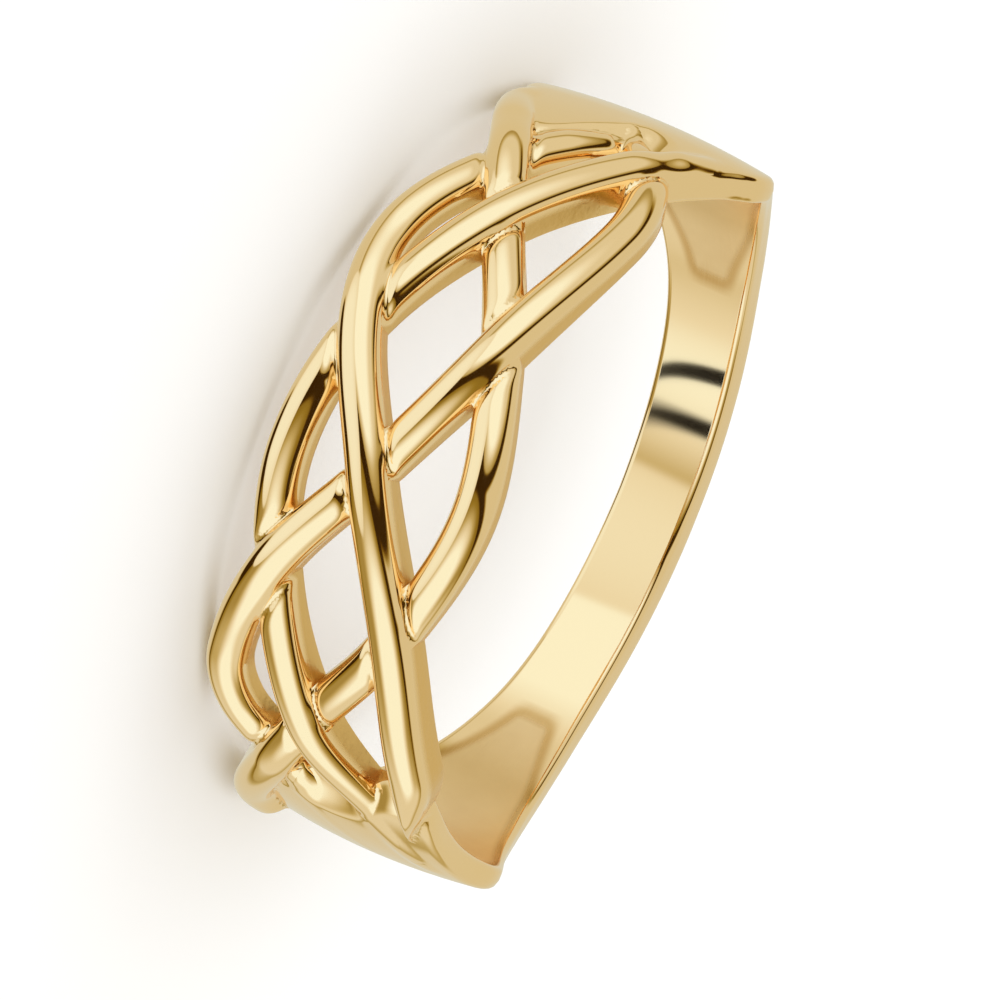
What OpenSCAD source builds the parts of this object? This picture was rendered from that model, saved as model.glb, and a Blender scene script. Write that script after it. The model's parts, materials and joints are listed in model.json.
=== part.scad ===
// Finger ring with an open braid of four strands between two wide shoulders.
// One casting: the strands run into the shoulders, which narrow to a plain shank.
// The ring lies on its side. The finger's axis is Z, with its origin at the
// middle of the bore. The middle of the braid faces -Y.

/* [Finger bore] */
// Inner diameter of the ring
bore_d = 17.2; // [15:0.1:21]

/* [Shank] */
// Width of the plain band at the back
shank_w = 2.0; // [1.6:0.1:3]
// Thickness of the plain band at the back
shank_t = 1.0; // [0.7:0.05:1.6]
// Rounding of the band's outer edges
edge_r = 0.26; // [0.1:0.02:0.34]
// Bevel of the band's edges at the bore
inner_bevel = 0.1; // [0.04:0.01:0.16]

/* [Shoulders] */
// Widest width of the shoulders
shoulder_w = 6.7; // [5.8:0.1:8]
// Thickness of the shoulders at the widest place
shoulder_t = 0.92; // [0.7:0.02:1.2]
// Thickness beside the finger, where the band is thinnest
side_t = 0.72; // [0.6:0.02:1]
// Ring angle from the braid's middle to the widest place
shoulder_a = 82; // [78:1:90]
// How far the floor between the strand ends lies below the shoulder
pocket_drop = 0.2; // [0.1:0.02:0.3]
// Crown of the shoulders' outer face
crown = 0.05; // [0.02:0.01:0.15]

/* [Braid] */
// Ring angle from the braid's middle to its last full crossings
braid_a = 80; // [74:1:86]
// Farthest reach of a strand's centre line from the band's middle
reach = 2.6; // [2.2:0.05:3]
// Width of a strand
strand_w = 1.02; // [0.8:0.02:1.3]
// Height of a strand above the bore where it passes over
strand_h = 1.18; // [1:0.02:1.6]
// How much lower a strand lies where it passes under
cross_drop = 0.22; // [0.1:0.02:0.4]
// Height of a strand's round top
dome_h = 0.46; // [0.3:0.02:0.6]

/* [Hidden] */
bore_r = bore_d/2;
// Ring angle between two sections of a strand, and of the band.
strand_step = 4;
band_step = 5;
// The skin reaches this far inside the bore before the bore is cut.
band_root = 0.9;
strand_root = 0.3;
root_step = 0.12;
// How far the ends of the strands lie below the shoulder that covers them.
end_cover = 0.1;

// The strands' routes, a row for each crossing and turn. Columns: share of
// braid_a, share of reach, and 1 where it passes over or 0 where it passes under.
AT = 0;
ROUTE = 1;
OVER = 2;
WEAVE = [
  [
    [-1.10,  0.92, 1],
    [-0.97,  0.83, 1],
    [-0.83,  0.54, 1],
    [-0.55, -0.16, 1],
    [-0.25, -0.75, 0],
    [ 0.02, -0.92, 0],
    [ 0.25, -0.70, 0],
    [ 0.55, -0.11, 1],
    [ 0.75,  0.49, 0],
    [ 1.00,  0.97, 0]],
  [
    [-1.00,  0.22, 0],
    [-0.92,  0.02, 0],
    [-0.70, -0.54, 0],
    [-0.45, -0.97, 0],
    [-0.25, -0.78, 1],
    [ 0.00, -0.10, 1],
    [ 0.28,  0.61, 1],
    [ 0.55,  0.94, 1],
    [ 0.75,  0.84, 1],
    [ 0.90,  0.62, 1]],
  [
    [-1.10, -0.70, 1],
    [-0.92,  0.14, 1],
    [-0.80,  0.62, 0],
    [-0.62,  0.84, 0],
    [-0.29,  0.54, 1],
    [ 0.00, -0.06, 0],
    [ 0.24, -0.70, 1],
    [ 0.47, -1.04, 0],
    [ 0.59, -0.94, 0],
    [ 0.70, -0.51, 0],
    [ 0.80, -0.16, 0],
    [ 0.98,  0.33, 0]],
  [
    [-1.10, -0.88, 1],
    [-1.00, -1.02, 1],
    [-0.90, -1.02, 1],
    [-0.70, -0.58, 1],
    [-0.55, -0.18, 0],
    [-0.29,  0.54, 0],
    [ 0.00,  0.96, 0],
    [ 0.28,  0.61, 0],
    [ 0.55, -0.15, 0],
    [ 0.70, -0.54, 1],
    [ 0.88, -0.95, 1],
    [ 0.98, -0.98, 1],
    [ 1.10, -0.84, 1]]];

// Where each strand sinks into the shoulders, as shares of braid_a.
// Columns: first end starts, first end is level, other end starts, is level.
FADE = [
  [-0.78, -1.04, 0.82, 1.02],
  [-0.80, -0.98, 0.68, 0.84],
  [-0.76, -1.02, 0.86, 1.04],
  [-0.70, -1.04, 0.98, 1.06]];

// The band. Columns: at, where 1 is shoulder_a and 2 is the back of the ring;
// flare from the shank's width (0) to the shoulders' (1); shares of side_t and
// of shank_t in the thickness; share of pocket_drop taken off it.
BAND = [
  // at,  flare, side, shank, drop
  [0.76,  0.10,  0.00, 0.00,  1.00],
  [0.82,  0.30,  0.00, 0.00,  0.90],
  [0.88,  0.50,  0.00, 0.00,  0.60],
  [0.94,  0.78,  0.00, 0.00,  0.20],
  [0.99,  1.00,  0.10, 0.00,  0.00],
  [1.04,  0.95,  0.35, 0.00,  0.00],
  [1.09,  0.81,  0.70, 0.00,  0.00],
  [1.14,  0.70,  0.95, 0.00,  0.00],
  [1.20,  0.57,  1.00, 0.00,  0.00],
  [1.27,  0.44,  0.96, 0.04,  0.00],
  [1.34,  0.33,  0.88, 0.12,  0.00],
  [1.42,  0.23,  0.74, 0.26,  0.00],
  [1.50,  0.14,  0.55, 0.45,  0.00],
  [1.60,  0.06,  0.32, 0.68,  0.00],
  [1.72,  0.02,  0.12, 0.88,  0.00],
  [2.00,  0.00,  0.00, 1.00,  0.00]];

// Smooth curve through the rows of a table, in column c, at x.
function row(t, x) = max([0, for (i = [0:len(t)-2]) if (x >= t[i][AT]) i]);
function tangent(t, c, i) =
  i <= 0 ? (t[1][c]-t[0][c])/(t[1][0]-t[0][0]) :
  i >= len(t)-1 ? (t[i][c]-t[i-1][c])/(t[i][0]-t[i-1][0]) :
  (t[i+1][c]-t[i-1][c])/(t[i+1][0]-t[i-1][0]);
function hermite(t, c, i, s) =
  let (d = t[i+1][0]-t[i][0], s2 = s*s, s3 = s2*s)
  (2*s3-3*s2+1)*t[i][c] + (s3-2*s2+s)*d*tangent(t, c, i)
  + (3*s2-2*s3)*t[i+1][c] + (s3-s2)*d*tangent(t, c, i+1);
function through(t, c, x) =
  let (i = row(t, x), s = (x-t[i][0])/(t[i+1][0]-t[i][0]))
  hermite(t, c, i, min(1, max(0, s)));
function ease(x) = let (s = min(1, max(0, x))) s*s*(3-2*s);
function mix(a, b, s) = a + (b-a)*s;

// A point at ring angle a, height r from the axis and z along it.
function at(a, r, z) = [r*sin(a), -r*cos(a), z];

// Over or under, eased from crossing to crossing.
function weave_lift(k, x) =
  let (t = WEAVE[k], i = row(t, x), s = (x-t[i][AT])/(t[i+1][AT]-t[i][AT]))
  mix(t[i][OVER], t[i+1][OVER], ease(s));
function sunk(k, x) =
  let (f = FADE[k])
  x < 0 ? ease((x-f[0])/(f[1]-f[0])) : ease((x-f[2])/(f[3]-f[2]));
function strand_top(k, x) =
  mix(strand_h - cross_drop*(1-weave_lift(k, x)), shoulder_t - crown - end_cover, sunk(k, x));

// The feet stand at their own depths inside the bore, which cuts them all off.
function strand_foot(k) = -strand_root - root_step*k;

// Section of a strand: half widths and heights, from one foot over to the other.
function strand_section(h, foot) =
  let (d = min(dome_h, h*0.6))
  [[-1, foot], for (q = [0:30:180]) [-cos(q), h - d + d*sin(q)], [1, foot]];

// Section of the band: z and height above the bore, for half width w, thickness t.
// The bevel runs on below the bore, so that no point lies on the bore itself.
function band_half(w, t) =
  let (e = min(edge_r, t*0.42), v = t - crown)
  [[w-inner_bevel*3, -band_root], [w-inner_bevel*3, -inner_bevel*2], [w, inner_bevel],
   for (q = [0:30:90]) [w - e + e*cos(q), v - e + e*sin(q)],
   [(w-e)*0.62, t - crown*0.38], [(w-e)*0.3, t - crown*0.09]];
function band_section(w, t) =
  let (h = band_half(w, t), n = len(h))
  concat([[0, t]], [for (i = [n-1:-1:0]) h[i]], [for (p = h) [-p[0], p[1]]]);

// Skin over a row of sections that have the same number of points.
module skin(secs) {
  n = len(secs[0]);
  m = len(secs);
  pts = [for (s = secs) for (p = s) p];
  sides = [for (i = [0:m-2]) for (j = [0:n-1])
    let (a = i*n+j, b = i*n+(j+1)%n, c = a+n, d = b+n)
    each [[a, b, d], [a, d, c]]];
  first = [for (j = [1:n-2]) [0, j+1, j]];
  last = [for (j = [1:n-2]) [(m-1)*n, (m-1)*n+j, (m-1)*n+j+1]];
  polyhedron(points = pts, faces = concat(sides, first, last), convexity = 6);
}

// One strand, standing on the bore and running into both shoulders.
module strand(k) {
  first = FADE[k][1] - 0.04;
  last = FADE[k][3] + 0.04;
  count = ceil((last-first)*braid_a/strand_step);
  skin([for (i = [0:count])
    let (x = mix(first, last, i/count), a = x*braid_a,
         z = reach*through(WEAVE[k], ROUTE, x),
         e = 0.01,
         dz = reach*(through(WEAVE[k], ROUTE, min(last, x+e)) - through(WEAVE[k], ROUTE, max(first, x-e))),
         da = (min(last, x+e)-max(first, x-e))*braid_a,
         arc = da*PI/180*(bore_r+strand_h/2),
         len = norm([arc, dz]),
         h = strand_top(k, x))
    [for (p = strand_section(h, strand_foot(k)))
      let (u = p[0]*strand_w/2, r = bore_r + p[1])
      at(a - u*dz/len/(bore_r+strand_h/2)*180/PI, r, z + u*arc/len)]]);
}

// Shoulders and shank in one sweep round the back.
module band() {
  first = BAND[0][AT];
  turns = [for (a = [first*shoulder_a:band_step:180-band_step/2]) a, 180];
  half = [for (a = turns)
    let (x = a <= shoulder_a ? a/shoulder_a : 1 + (a-shoulder_a)/(180-shoulder_a),
         w = mix(shank_w, shoulder_w, through(BAND, 1, x))/2,
         side = through(BAND, 2, x), back = through(BAND, 3, x),
         t = shoulder_t + (side_t-shoulder_t)*side + (shank_t-shoulder_t)*back
             - pocket_drop*through(BAND, 4, x))
    [a, w, t]];
  n = len(half);
  all = concat(half, [for (i = [n-2:-1:0]) [360-half[i][0], half[i][1], half[i][2]]]);
  skin([for (s = all) [for (p = band_section(s[1], s[2])) at(s[0], bore_r + p[1], p[0])]]);
}

module ring() {
  color("gold")
  difference() {
    // The band and the strands are joined into one cast skin.
    resize([0, 0, 0]) union() {
      band();
      for (k = [0:3]) strand(k);
    }
    cylinder(r = bore_r, h = 2*shoulder_w, center = true, $fn = 180);
  }
}

ring();
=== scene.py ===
"""A braided band ring, cast in yellow gold and lying on its side on a pale studio floor."""

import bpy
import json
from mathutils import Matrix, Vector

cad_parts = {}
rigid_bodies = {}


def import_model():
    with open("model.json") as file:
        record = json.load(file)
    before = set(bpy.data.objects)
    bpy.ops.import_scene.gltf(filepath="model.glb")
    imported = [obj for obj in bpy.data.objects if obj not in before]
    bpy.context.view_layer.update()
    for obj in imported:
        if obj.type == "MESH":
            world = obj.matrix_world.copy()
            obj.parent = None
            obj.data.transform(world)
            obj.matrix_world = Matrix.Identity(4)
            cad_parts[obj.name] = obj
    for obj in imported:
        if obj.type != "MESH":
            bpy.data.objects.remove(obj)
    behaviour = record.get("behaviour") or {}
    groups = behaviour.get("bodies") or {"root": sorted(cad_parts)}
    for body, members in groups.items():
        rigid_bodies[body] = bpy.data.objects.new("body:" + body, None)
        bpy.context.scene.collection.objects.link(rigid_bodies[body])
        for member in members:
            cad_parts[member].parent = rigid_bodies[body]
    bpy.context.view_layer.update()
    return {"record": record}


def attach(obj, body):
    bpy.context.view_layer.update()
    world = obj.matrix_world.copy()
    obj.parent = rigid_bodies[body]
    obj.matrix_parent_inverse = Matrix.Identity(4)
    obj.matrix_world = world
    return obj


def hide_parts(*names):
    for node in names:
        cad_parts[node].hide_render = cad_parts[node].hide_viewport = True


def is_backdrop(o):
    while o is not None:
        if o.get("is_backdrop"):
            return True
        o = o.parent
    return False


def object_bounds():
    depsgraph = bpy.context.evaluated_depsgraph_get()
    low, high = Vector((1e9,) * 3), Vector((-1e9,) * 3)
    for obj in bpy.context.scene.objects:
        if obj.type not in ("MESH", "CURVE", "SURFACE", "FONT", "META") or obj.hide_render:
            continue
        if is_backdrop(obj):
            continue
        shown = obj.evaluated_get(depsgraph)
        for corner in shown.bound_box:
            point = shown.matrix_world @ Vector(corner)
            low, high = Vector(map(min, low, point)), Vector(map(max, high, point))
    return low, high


bl_info = {
    "name": "Braided band ring",
    "version": (1, 0, 0),
    "blender": (4, 5, 0),
    "location": "View3D > Sidebar > Braided ring",
    "description": "Builds a cast gold ring whose front is an open braid of four strands",
    "category": "Add Mesh",
}

import json
import math
from types import SimpleNamespace

import bpy
import numpy as np
from mathutils import Matrix, Vector

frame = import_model()

MM = 0.001
BORE_RADIUS = frame["record"]["mounts"][0]["dims"]["r_mm"]

# The photo's camera, seen from the middle of the bore.
VIEW_AZIMUTH = -6.73
VIEW_ELEVATION = 20.92
VIEW_ROLL = 114.01
VIEW_DISTANCE_MM = 206.72
VIEW_LENS_MM = 309.04
VIEW_SENSOR_MM = 36.0
VIEW_CLIP_START = 0.01
VIEW_AIM_RIGHT_MM = -0.610
VIEW_AIM_UP_MM = -0.312

# The first column of every table that a curve runs through says where along it a row is.
AT = 0

# The strands' routes, a row for each crossing and turn. Columns: share of the braid's
# angle, share of its reach, and 1 where the strand passes over or 0 where it passes under.
ROUTE, OVER = 1, 2
STRANDS = (
    (
        (-1.10, 0.92, 1),
        (-0.97, 0.83, 1),
        (-0.83, 0.54, 1),
        (-0.55, -0.16, 1),
        (-0.25, -0.75, 0),
        (0.02, -0.92, 0),
        (0.25, -0.70, 0),
        (0.55, -0.11, 1),
        (0.75, 0.49, 0),
        (1.00, 0.97, 0),
    ),
    (
        (-1.00, 0.22, 0),
        (-0.92, 0.02, 0),
        (-0.70, -0.54, 0),
        (-0.45, -0.97, 0),
        (-0.25, -0.78, 1),
        (0.00, -0.10, 1),
        (0.28, 0.61, 1),
        (0.55, 0.95, 1),
        (0.64, 0.975, 1),
        (0.70, 0.955, 1),
        (0.76, 0.90, 1),
        (0.90, 0.75, 1),
    ),
    (
        (-1.10, -0.70, 1),
        (-0.92, 0.14, 1),
        (-0.80, 0.62, 0),
        (-0.62, 0.84, 0),
        (-0.29, 0.54, 1),
        (0.00, -0.06, 0),
        (0.24, -0.70, 1),
        (0.47, -1.04, 0),
        (0.59, -0.94, 0),
        (0.70, -0.51, 0),
        (0.80, -0.16, 0),
        (0.98, 0.33, 0),
    ),
    (
        (-1.10, -0.88, 1),
        (-1.00, -1.02, 1),
        (-0.90, -1.02, 1),
        (-0.70, -0.58, 1),
        (-0.55, -0.18, 0),
        (-0.29, 0.54, 0),
        (0.00, 0.96, 0),
        (0.28, 0.61, 0),
        (0.55, -0.15, 0),
        (0.70, -0.54, 1),
        (0.88, -0.95, 1),
        (0.98, -0.98, 1),
        (1.10, -0.84, 1),
    ),
)

# Where each strand sinks into the shoulders, as shares of the braid's angle. Columns:
# first end starts, first end is level, other end starts, other end is level.
FADES = (
    (-0.78, -1.04, 0.82, 1.02),
    (-0.80, -0.98, 0.66, 0.83),
    (-0.76, -1.02, 0.86, 1.04),
    (-0.70, -1.04, 0.98, 1.06),
)

# Where the strands' ends widen or narrow. Columns: first end starts and is done, its width
# as a share of the strand's, and the same for the other end.
WIDTHS = (
    (-0.78, -1.04, 1.10, 0.82, 1.02, 1.10),
    (-0.80, -0.98, 0.70, 0.56, 0.77, 0.04),
    (-0.76, -0.90, 0.72, 0.86, 1.04, 0.80),
    (-0.70, -1.04, 1.00, 0.98, 1.06, 1.00),
)

# The shoulders and the shank. Columns: ring angle, 1 at the shoulders' widest place and 2
# at the back of the ring; flare from the shank's width (0) to the shoulders' (1); how far
# the thickness has gone to the side's and to the shank's.
FLARE, SIDE, SHANK = 1, 2, 3
BAND = (
    (0.50, 1.00, 0.00, 0.00),
    (0.96, 1.00, 0.00, 0.00),
    (1.00, 1.00, 0.12, 0.00),
    (1.02, 0.995, 0.22, 0.00),
    (1.05, 0.965, 0.40, 0.00),
    (1.09, 0.875, 0.70, 0.00),
    (1.14, 0.745, 0.95, 0.00),
    (1.20, 0.600, 1.00, 0.00),
    (1.27, 0.460, 0.96, 0.04),
    (1.34, 0.340, 0.88, 0.12),
    (1.42, 0.23, 0.74, 0.26),
    (1.50, 0.14, 0.55, 0.45),
    (1.60, 0.06, 0.32, 0.68),
    (1.72, 0.02, 0.12, 0.88),
    (2.00, 0.00, 0.00, 1.00),
)

# How the shoulders narrow in front of their widest place, at each end of the braid, on
# the floor side and on the top side. Columns: share of the shoulders' angle, share of
# their half width. From NARROWING_END on they have their full width. SHARE is the second
# column of this table and of the next.
SHARE = 1
NARROWING_END = 1.06
NARROWING = (
    (
        ((0.60, 0.36), (0.70, 0.52), (0.78, 0.67), (0.88, 0.82), (0.94, 0.905), (0.98, 0.96),
         (1.02, 0.99), (1.06, 1.00)),
        ((0.60, 0.38), (0.78, 0.56), (0.82, 0.63), (0.86, 0.70), (0.90, 0.775), (0.94, 0.85),
         (0.97, 0.915), (1.00, 0.97), (1.06, 1.00)),
    ),
    (
        ((0.60, 0.30), (0.70, 0.46), (0.78, 0.62), (0.86, 0.74), (0.93, 0.83), (0.97, 0.91),
         (1.00, 0.97), (1.03, 0.995), (1.06, 1.00)),
        ((0.60, 0.74), (0.66, 0.81), (0.72, 0.85), (0.80, 0.87), (0.88, 0.90), (0.94, 0.935),
         (0.98, 0.965), (1.02, 0.99), (1.06, 1.00)),
    ),
)

# Where the shoulders' floor begins between the strands, at each end of the braid.
# Columns: place across the band, from the floor side (-1) to the top side (1); share of
# the shoulders' angle.
FRONTS = (
    ((-1.00, 0.72), (-0.75, 0.73), (-0.50, 0.74), (-0.20, 0.80), (0.10, 0.88), (0.40, 0.87),
     (0.70, 0.81), (1.00, 0.78)),
    ((-1.00, 0.72), (-0.70, 0.70), (-0.45, 0.69), (-0.20, 0.70), (0.10, 0.70), (0.35, 0.68),
     (0.60, 0.63), (0.80, 0.62), (1.00, 0.64)),
)

# How the strands' meshes are divided: points and sections along a strand, points over its
# round top, rows of points down a wall as shares of it, points round the whole section,
# which of them is the foot's middle, and how wide the foot is as a share of the strand.
ROUTE_POINTS = 400
STATIONS = 320
DOME_POINTS = 25
WALL_SHARES = (0.04, 0.3, 0.6, 0.9)
SECTION_POINTS = DOME_POINTS + 2 * len(WALL_SHARES) + 3
FOOT_MIDDLE = DOME_POINTS + len(WALL_SHARES) + 1
FOOT_WIDTH = 0.96

# Each strand's foot stands this much farther out than the last one's, in millimetres, so
# that no two feet lie in one face.
FOOT_STEP = 0.002

# The braid's ends, as shares of its angle: how far a strand runs on where it is level,
# and the length over which its very end sinks.
RUN_ON = 0.04
SINK_RUN = 0.14

# The braid's walls are as cast from this share of the way down to the bore, and less so
# towards the shoulders, where a wheel reaches them. Angles in degrees.
CAST_FROM = 0.3
CAST_END = 62.0
CAST_RUN = 10.0

# How the surfaces run into each other, in millimetres: how steeply a strand's height falls
# beside it, how far past its end still counts as beside it, how far a dip reaches, and how
# far a buried surface sinks, as a share of its depth and at most.
WALL_SLOPE = 3.0
PAST_END = 0.06
TUCK_REACH = 0.16
SINK_SHARE = 0.15
SINK_MOST = 0.03

# A height that stands for no floor, and how many points are measured at a time.
NO_FLOOR = -9.0
CHUNK = 20000

# How the band's mesh is divided, with angles in degrees: points across it, rows of the
# shoulders and where they end, where the flare's rows end, steps between the flare's rows
# and the shank's, points round the lip, rows down an edge as shares of it, points down a
# whole edge, and how far the inner face stands inside the bore's radius, in millimetres.
BAND_COLUMNS = 61
SHOULDER_ROWS = 90
SHOULDER_END = 95.0
FLARE_END = 120.0
FLARE_STEP = 0.8
SHANK_STEP = 1.5
LIP_POINTS = 7
WALL_STEPS = (0.66, 0.33)
WALL_POINTS = len(WALL_STEPS) + LIP_POINTS - 1
BORE_SINK = 0.001

# The shoulders' crown goes over to the shank's before this ring angle, over this run.
CROWN_END = 115.0
CROWN_RUN = 35.0

# The brushed part of the bore, in millimetres and degrees: how far it stays off the top
# side, how much narrower it gets and from which angle over which run, and how soft its
# edges are across the band and along it.
SATIN_TOP_INSET = 0.05
SATIN_TAPER = 0.35
SATIN_TAPER_START = 118.0
SATIN_TAPER_RUN = 20.0
SATIN_SOFT = 0.5
SATIN_SOFT_ANGLE = 5.0

# The angles in degrees past which an edge is drawn sharp.
STRAND_SHARP = 40.0
BAND_SHARP = 50.0


def linear(hex_colour):
    """An sRGB hex colour as linear red, green, blue and alpha."""
    parts = [int(hex_colour[i:i + 2], 16) / 255 for i in (1, 3, 5)]
    return [c / 12.92 if c <= 0.04045 else ((c + 0.055) / 1.055) ** 2.4 for c in parts] + [1.0]


def ease(x):
    """A smooth step from 0 to 1."""
    x = np.clip(x, 0.0, 1.0)
    return x * x * (3 - 2 * x)


def through(rows, column, x):
    """A smooth curve through one column of a table, at each x."""
    t = np.array([row[AT] for row in rows], float)
    v = np.array([row[column] for row in rows], float)
    slope = np.empty_like(v)
    slope[1:-1] = (v[2:] - v[:-2]) / (t[2:] - t[:-2])
    slope[0] = (v[1] - v[0]) / (t[1] - t[0])
    slope[-1] = (v[-1] - v[-2]) / (t[-1] - t[-2])
    x = np.clip(x, t[0], t[-1])
    i = np.clip(np.searchsorted(t, x, side="right") - 1, 0, len(t) - 2)
    d = t[i + 1] - t[i]
    s = (x - t[i]) / d
    return (
        (2 * s**3 - 3 * s**2 + 1) * v[i]
        + (s**3 - 2 * s**2 + s) * d * slope[i]
        + (3 * s**2 - 2 * s**3) * v[i + 1]
        + (s**3 - s**2) * d * slope[i + 1]
    )


def stepped(rows, column, x):
    """One column of a table, eased from row to row without overshoot."""
    t = np.array([row[AT] for row in rows], float)
    v = np.array([row[column] for row in rows], float)
    x = np.clip(x, t[0], t[-1])
    i = np.clip(np.searchsorted(t, x, side="right") - 1, 0, len(t) - 2)
    return v[i] + (v[i + 1] - v[i]) * ease((x - t[i]) / (t[i + 1] - t[i]))


class RingSizes(bpy.types.PropertyGroup):
    """Sizes of the casting."""

    shank_width: bpy.props.FloatProperty(
        name="Shank width", description="Width of the plain band at the back",
        default=2.0 * MM, subtype="DISTANCE")
    shank_thickness: bpy.props.FloatProperty(
        name="Shank thickness", description="Thickness of the band at the back",
        default=1.0 * MM, subtype="DISTANCE")
    edge_round: bpy.props.FloatProperty(
        name="Edge rounding", description="Rounding of the band's outer edges",
        default=0.24 * MM, subtype="DISTANCE")
    inner_round: bpy.props.FloatProperty(
        name="Inner rounding", description="Rounding of the edges at the bore",
        default=0.17 * MM, subtype="DISTANCE")
    satin_angle: bpy.props.FloatProperty(
        name="Satin angle", description="Ring angle where the brushed part of the bore ends",
        default=math.radians(137.0), subtype="ANGLE")
    satin_inset: bpy.props.FloatProperty(
        name="Satin inset", description="How far the brushed part stays off the floor side",
        default=0.3 * MM, subtype="DISTANCE")
    shoulder_width: bpy.props.FloatProperty(
        name="Shoulder width", description="Widest width of the shoulders",
        default=6.7 * MM, subtype="DISTANCE")
    shoulder_thickness: bpy.props.FloatProperty(
        name="Shoulder thickness", description="Thickness at the widest place",
        default=0.92 * MM, subtype="DISTANCE")
    side_thickness: bpy.props.FloatProperty(
        name="Side thickness", description="Thickness beside the finger",
        default=0.72 * MM, subtype="DISTANCE")
    shoulder_angle: bpy.props.FloatProperty(
        name="Shoulder angle", description="From the braid's middle to the widest place",
        default=math.radians(82.0), subtype="ANGLE")
    pocket_drop: bpy.props.FloatProperty(
        name="Pocket drop", description="Depth of the pockets between the strand ends",
        default=0.42 * MM, subtype="DISTANCE")
    pocket_run: bpy.props.FloatProperty(
        name="Pocket run", description="Length over which a pocket rises to the shoulder",
        default=0.9 * MM, subtype="DISTANCE")
    crown: bpy.props.FloatProperty(
        name="Crown", description="Crown of the shank's outer face",
        default=0.06 * MM, subtype="DISTANCE")
    shoulder_crown: bpy.props.FloatProperty(
        name="Shoulder crown", description="Crown of the shoulders' outer face",
        default=0.28 * MM, subtype="DISTANCE")
    braid_angle: bpy.props.FloatProperty(
        name="Braid angle", description="From the braid's middle to its end",
        default=math.radians(80.0), subtype="ANGLE")
    reach: bpy.props.FloatProperty(
        name="Reach", description="Farthest reach of a strand's centre line",
        default=2.6 * MM, subtype="DISTANCE")
    strand_width: bpy.props.FloatProperty(
        name="Strand width", description="Width of a strand",
        default=1.02 * MM, subtype="DISTANCE")
    strand_height: bpy.props.FloatProperty(
        name="Strand height", description="Height above the bore where it passes over",
        default=1.18 * MM, subtype="DISTANCE")
    cross_drop: bpy.props.FloatProperty(
        name="Crossing drop", description="How much lower a strand passes under",
        default=0.3 * MM, subtype="DISTANCE")
    dome: bpy.props.FloatProperty(
        name="Dome", description="Height of a strand's round top",
        default=0.44 * MM, subtype="DISTANCE")
    fillet: bpy.props.FloatProperty(
        name="Fillet", description="How softly surfaces run into each other",
        default=0.12 * MM, subtype="DISTANCE")
    end_cover: bpy.props.FloatProperty(
        name="End cover", description="How far a strand's end lies below the shoulder",
        default=0.05 * MM, subtype="DISTANCE")
    end_sink: bpy.props.FloatProperty(
        name="End sink", description="How much deeper the very end of a strand lies",
        default=0.22 * MM, subtype="DISTANCE")
    tuck: bpy.props.FloatProperty(
        name="Tuck", description="How far a strand dips just before it passes under",
        default=0.13 * MM, subtype="DISTANCE")


class GoldFinish(bpy.types.PropertyGroup):
    """Colours and roughness of the gold."""

    polished: bpy.props.FloatVectorProperty(
        name="Polished", description="Colour of the polished faces", subtype="COLOR",
        size=4, min=0.0, max=1.0, default=linear("#ffdfa9"))
    cast: bpy.props.FloatVectorProperty(
        name="Cast", description="Colour of the unpolished walls and pockets",
        subtype="COLOR", size=4, min=0.0, max=1.0, default=linear("#e8c078"))
    brushed: bpy.props.FloatVectorProperty(
        name="Brushed", description="Colour of the brushed bore's darker edge and clouds",
        subtype="COLOR", size=4, min=0.0, max=1.0, default=linear("#cf9c4a"))
    polished_roughness: bpy.props.FloatProperty(
        name="Polished roughness", description="Roughness of the polished faces",
        default=0.06, min=0.0, max=1.0, subtype="FACTOR")
    cast_roughness: bpy.props.FloatProperty(
        name="Cast roughness", description="Roughness of the unpolished walls",
        default=0.34, min=0.0, max=1.0, subtype="FACTOR")
    brush_roughness: bpy.props.FloatProperty(
        name="Brush roughness", description="How much rougher the brush makes the bore",
        default=0.28, min=0.0, max=1.0, subtype="FACTOR")


class StudioLook(bpy.types.PropertyGroup):
    """The floor and the light."""

    floor: bpy.props.FloatVectorProperty(
        name="Floor", description="Colour of the floor", subtype="COLOR",
        size=4, min=0.0, max=1.0, default=linear("#f7f6f4"))
    daylight: bpy.props.FloatProperty(
        name="Daylight", description="Strength of the light on the floor", default=1.2, min=0.0)
    softbox: bpy.props.FloatProperty(
        name="Softboxes", description="Strength of the light that the metal mirrors",
        default=1.4, min=0.0)
    gap: bpy.props.FloatProperty(
        name="Gap", description="Brightness of what shows between the softboxes",
        default=0.69, min=0.0, max=1.0, subtype="FACTOR")
    cloth: bpy.props.FloatProperty(
        name="Cloth", description="Brightness of the dark cloth round the softboxes",
        default=0.03, min=0.0, max=1.0, subtype="FACTOR")
    rim_fade: bpy.props.FloatProperty(
        name="Rim fade", description="Angle over which the dark cloth fades",
        default=math.radians(6.0), subtype="ANGLE")


def ring_sizes():
    """The ring's sizes as plain numbers: lengths in millimetres and angles in degrees."""
    group = bpy.context.scene.ring_sizes
    units = {"LENGTH": MM, "ROTATION": math.radians(1.0)}
    return SimpleNamespace(**{
        name: getattr(group, name) / units[group.bl_rna.properties[name].unit]
        for name in RingSizes.__annotations__
    })


def add_node(tree, kind, inputs=None, **settings):
    """Adds a node, sets what is given and links or fills its inputs."""
    node = tree.nodes.new(kind)
    for name, value in settings.items():
        setattr(node, name, value)
    for key, value in (inputs or {}).items():
        socket = node.inputs[key]
        if isinstance(value, bpy.types.NodeSocket):
            tree.links.new(value, socket)
        else:
            socket.default_value = value
    return node


# The kinds of node that are used most.
MATH = "ShaderNodeMath"
VECTOR_MATH = "ShaderNodeVectorMath"
MIX = "ShaderNodeMix"

# The name of the gold's material.
GOLD = "polished yellow gold"

# How far the brushed part's edge and its clouds go to the darker colour.
EDGE_SHADE = 2.4
CLOUD_SHADE = 0.22

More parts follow.
